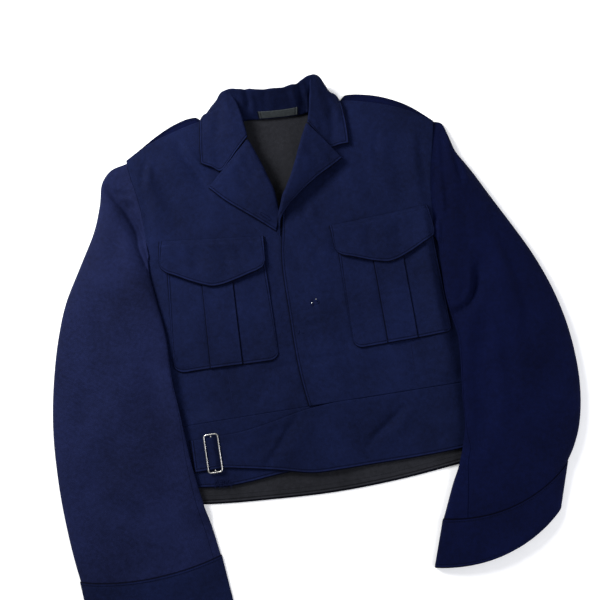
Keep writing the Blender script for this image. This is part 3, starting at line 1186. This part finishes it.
def build_cuff(side, material):
    """A plain band that carries on the end of the sleeve: its last ring, moved and sunk a little."""
    t = steps(66.0, 3.2)[:, None]
    s = np.ones((1, 1))
    angle = np.concatenate([ring_angles(side, s, "top"), ring_angles(side, s, "under")[:, 1:-1]], axis=1)
    way = np.array(CUFF_WAY[side])
    start = CUFF_START / np.hypot(*way)
    outer = np.repeat(sleeve_ring(side, s, angle, CUFF_FULL), len(t), axis=0)
    outer[:, :, :2] += way * (start + (1 - start) * t)[:, :, None]
    outer[:, :, 2] *= 1 - CUFF_SINK * t
    if side == "left":
        outer = outer[:, ::-1]
    around = np.roll(outer, -1, axis=1) - np.roll(outer, 1, axis=1)
    normal = np.cross(around, np.gradient(outer, axis=0))
    normal = normal / np.maximum(np.linalg.norm(normal, axis=2, keepdims=True), 1e-9)
    inner = outer - normal * BAND_WALL
    piece = cloth("jacket_cuff_" + side, inner, outer, material, ("foot", "head"), ring=True)
    declare("cuff_" + side)
    return np.concatenate([outer, outer[:, :2]], axis=1)


def on_front(side, x, y):
    """Height of a front's face over plan points."""
    return LOW[side](x, y) + SERGE


def cords_on(paths, radius, sides):
    """Points and quads of thin tubes along paths with the same number of points."""
    rings = len(paths[0])
    points = np.concatenate([tube(path, radius, sides, False).reshape(-1, 3) for path in paths])
    faces = np.concatenate([tube_faces(rings, sides, False, rings * sides * k) for k in range(len(paths))])
    return points, faces


def build_darts(thread):
    """The line of each dart: a thin roll of cloth and thread sunk in its groove."""
    t = np.linspace(0, 1, 60)
    paths = []
    for side, ((ax, ay), (bx, by)) in DARTS.items():
        x, y = ax + (bx - ax) * t, ay + (by - ay) * t
        paths.append(np.stack([x, y, on_front(side, x, y) - DART_DEEP * ease(0.3 + t) + 0.05], axis=1))
    new_piece("dart_seam_lines", *cords_on(paths, 0.5, 8), thread)


def build_studs(steel):
    """Two metal studs, what is left of a fastening: rings of a half circle turned about the upright."""
    turn = np.linspace(0, np.pi / 2, 6)[:, None]
    ring = np.linspace(0, 2 * np.pi, 14, endpoint=False)
    radius = 0.95 * np.cos(turn) + 0.02
    for number, (cx, cy) in enumerate(STUDS):
        x = cx + radius * np.cos(ring)
        y = cy + radius * np.sin(ring)
        z = on_front("left", np.array(cx), np.array(cy)) - 0.2 + 1.1 * np.sin(turn) + 0 * x
        stud = new_piece("hook_stud_" + str(number + 1), np.stack([x, y, z], axis=2),
                         tube_faces(6, 14, False)[:, ::-1], steel)


def build_snips(thread):
    """Snipped threads on the front: each runs straight with a slight wave, arched off the cloth."""
    t = np.linspace(0, 1, 9)
    paths = []
    for ax, ay, bx, by in SNIPS:
        x, y = ax + (bx - ax) * t, ay + (by - ay) * t + 0.7 * np.sin(3 * np.pi * t)
        paths.append(np.stack([x, y, on_front("left", x, y) + 0.15 + 0.5 * np.sin(np.pi * t)], axis=1))
    new_piece("snipped_threads", *cords_on(paths, 0.32, 6), thread)


def buttonhole(lapel):
    """Worked hole near the lapel's foot: short threads side by side round a slim ellipse."""
    flat = lapel.reshape(-1, 3)
    t = np.linspace(0, 2 * np.pi, 44, endpoint=False)
    turn = BUTTONHOLE["turn"]
    long, short = BUTTONHOLE["half_long"] * np.cos(t), BUTTONHOLE["half_wide"] * np.sin(t)
    x = BUTTONHOLE["x"] + long * np.cos(turn) - short * np.sin(turn)
    y = BUTTONHOLE["y"] + long * np.sin(turn) + short * np.cos(turn)
    nearest = np.argmin((flat[None, :, 0] - x[:, None]) ** 2 + (flat[None, :, 1] - y[:, None]) ** 2, axis=1)
    up = face_normals(lapel).reshape(-1, 3)[nearest]
    out = np.stack([-np.sin(turn) * np.sign(short), np.cos(turn) * np.sign(short), 0 * t], axis=1)
    start = np.stack([x, y, flat[nearest, 2]], axis=1) + up * 0.15
    return [np.concatenate([np.stack([a, a + o, a + o * 2]), np.repeat(u[None], 3, axis=0)], axis=1)
            for a, o, u in zip(start, out, up)]


def frayed_end(material):
    """Loose ends where the under waistband has worn through below the buckle.

    Each runs off at a random angle, bent sideways by the square of its length and arched off the
    cloth by a half sine.
    """
    rng = np.random.default_rng(4)
    count = 70
    t = np.linspace(0, 1, 8)[None, :]
    x0 = -163 + rng.uniform(0, 22, count)[:, None]
    y0 = -240 - rng.uniform(0, 10, count)[:, None]
    angle = rng.uniform(-2.6, -0.6, count)[:, None]
    reach = rng.uniform(3, 8, count)[:, None]
    curl = rng.uniform(-2.2, 2.2, count)[:, None]
    x = x0 + reach * t * np.cos(angle) + curl * t ** 2
    y = y0 + reach * t * np.sin(angle)
    z = front_low(x, y) + BAND_WALL + 0.2 + 1.6 * np.sin(np.pi * t) * rng.uniform(0.2, 1, count)[:, None]
    points, faces = cords_on(np.stack([x, y, z], axis=2), 0.22, 5)
    new_piece("frayed_cloth_ends", points, faces, material)


def build_camera():
    """Camera above the jacket's foot, a little to its left, looking at the plan's origin."""
    tilt, turn, far = np.radians(80.0), np.radians(-9.0), 1.2
    back = Vector((np.sin(turn) * np.cos(tilt), -np.cos(turn) * np.cos(tilt), np.sin(tilt)))
    data = bpy.data.cameras.new("photo_camera")
    data.lens, data.sensor_width = 48.0, 36.0
    data.clip_start = 0.05
    camera = bpy.data.objects.new("photo_camera", data)
    bpy.context.scene.collection.objects.link(camera)
    camera.location = Vector(SHIFT * MM) + back * far
    camera.rotation_euler = (-back).to_track_quat("-Z", "Y").to_euler()
    bpy.context.scene.camera = camera


def area_light(name, place, aim, size, power, colour):
    """A square softbox at a place, turned to its aim."""
    data = bpy.data.lights.new(name, "AREA")
    data.shape, data.size = "SQUARE", size
    data.energy, data.color = power, linear(colour)[:3]
    light = bpy.data.objects.new(name, data)
    bpy.context.scene.collection.objects.link(light)
    light.location = place
    light.rotation_euler = (Vector(place) - Vector(aim)).to_track_quat("Z", "Y").to_euler()


def build_studio():
    """Pale floor, a soft key from the upper left and a weak fill."""
    half = 4.0
    corners = [(-half, -half, 0), (half, -half, 0), (half, half, 0), (-half, half, 0)]
    mesh = bpy.data.meshes.new("studio_floor")
    mesh.from_pydata(corners, [], [(0, 1, 2, 3)])
    floor = bpy.data.objects.new("studio_floor", mesh)
    bpy.context.scene.collection.objects.link(floor)
    mesh.materials.append(floor_material())
    area_light("key_softbox", (-0.9, 0.86, 0.86), (-0.05, 0, 0), 0.55, 33.0, "FFFFFF")
    area_light("fill_softbox", (1.3, -0.9, 1.2), (0, 0, 0), 1.4, 20.0, "F6F7FF")
    world = bpy.data.worlds.new("studio_air")
    world.use_nodes = True
    background = world.node_tree.nodes["Background"]
    background.inputs["Color"].default_value = linear("F6F8FC")
    background.inputs["Strength"].default_value = 0.34
    bpy.context.scene.world = world
    bpy.context.scene.view_settings.view_transform = "Standard"


def main():
    """Makes the materials and every piece, then the sewing along the pieces' edges."""
    navy = ("050818", "0A112D", "161F44")
    shade = ("020412", "050A28", "0A123A")
    serge = wool_serge("navy_wool_serge", navy)
    plain = wool_serge("navy_wool_serge_unsewn", navy, sewn=False)
    # The nap lies toward the light on one sleeve, and away from it on the other and underneath
    toward = wool_serge("navy_wool_serge_nap_toward", ("080A1A", "0F1431", "1D254A"), sewn=False)
    away = wool_serge("navy_wool_serge_nap_away", shade, 0.9, 0.15, sewn=False)
    under = wool_serge("navy_wool_serge_under", shade, 0.9, 0.15)
    # Smooth cotton lining, charcoal, with finer and steeper ribs and a faint even shine
    twill = cloth_material("charcoal_cotton_twill", ("101115", "1D1E22", "2F2F35"), 0.9, 0.12, 0.72, 0.12,
                           slant=62.0)
    # Close plain-woven tape with cross ribs, paler and greener than the cloth round it
    tape = cloth_material("olive_grey_tape", ("1F2221", "34383A", "4C5152"), 0.7, 0.1, 0.78, 0.1, slant=0.0)
    thread = thread_material("navy_thread", "0E1638")
    dark_thread = thread_material("charcoal_thread", "101116")
    steel = plated_steel()
    build_camera()
    build_studio()
    build_back(plain)
    build_back_band(serge)
    lining = build_lining(twill)
    # Rows of stitches: grid, side, distance in from it, and what is left out at both ends
    rows = []
    corner = (TOPSTITCH, TOPSTITCH)
    for side, edge in (("right", UNDER_EDGE), ("left", OVER_EDGE)):
        free = "left" if side == "right" else "right"
        rows.append((build_strap(side, under), "head", TOPSTITCH))
        rows.append((build_front(side, edge, serge), side, TOPSTITCH, (3, 170)))
        lapel = build_lapel(side, serge)
        if side == "right":
            under_lapel = lapel
        rows += [(lapel, free, TOPSTITCH, (2, TOPSTITCH)), (lapel, "head", TOPSTITCH, (TOPSTITCH, 30))]
        pocket = build_pocket(side, serge)
        flap = build_flap(side, serge)
        rows += [(top, name, TOPSTITCH, corner) for top in (pocket, flap)
                 for name in ("left", "right", "foot")]
        rows.append((flap, "head", FLAP_STITCH, (3, 3)))
        build_sleeve(side, toward if side == "right" else away)
        cuff = build_cuff(side, serge if side == "right" else under)
        rows += [(cuff, "foot", TOPSTITCH), (cuff, "head", TOPSTITCH)]
    below, over = build_bands(serge)
    rows += [(over, "foot", TOPSTITCH, (3, 3)), (over, "head", TOPSTITCH, (3, 190)),
             (below, "foot", TOPSTITCH, (3, 3))]
    collar = build_collar(serge)
    rows += [(collar, "left", TOPSTITCH, corner), (collar, "foot", TOPSTITCH, (TOPSTITCH, 40)),
             (collar, "head", TOPSTITCH, (TOPSTITCH, 40))]
    build_hanger(tape)
    build_buckle(steel)
    stitches("topstitch_thread", [inset_path(*row) for row in rows], thread)
    hole = stitches("lapel_buttonhole", buttonhole(under_lapel), thread, pitch=2.0, share=1.0, radius=0.36,
                    sunk=0.0)
    build_darts(thread)
    build_studs(steel)
    build_snips(thread)
    frayed_end(thread)
    hem = [inset_path(lining, "foot", inset, (3, 3)) for inset in HEM_STITCHES]
    stitches("hem_thread", hem, dark_thread)


main()
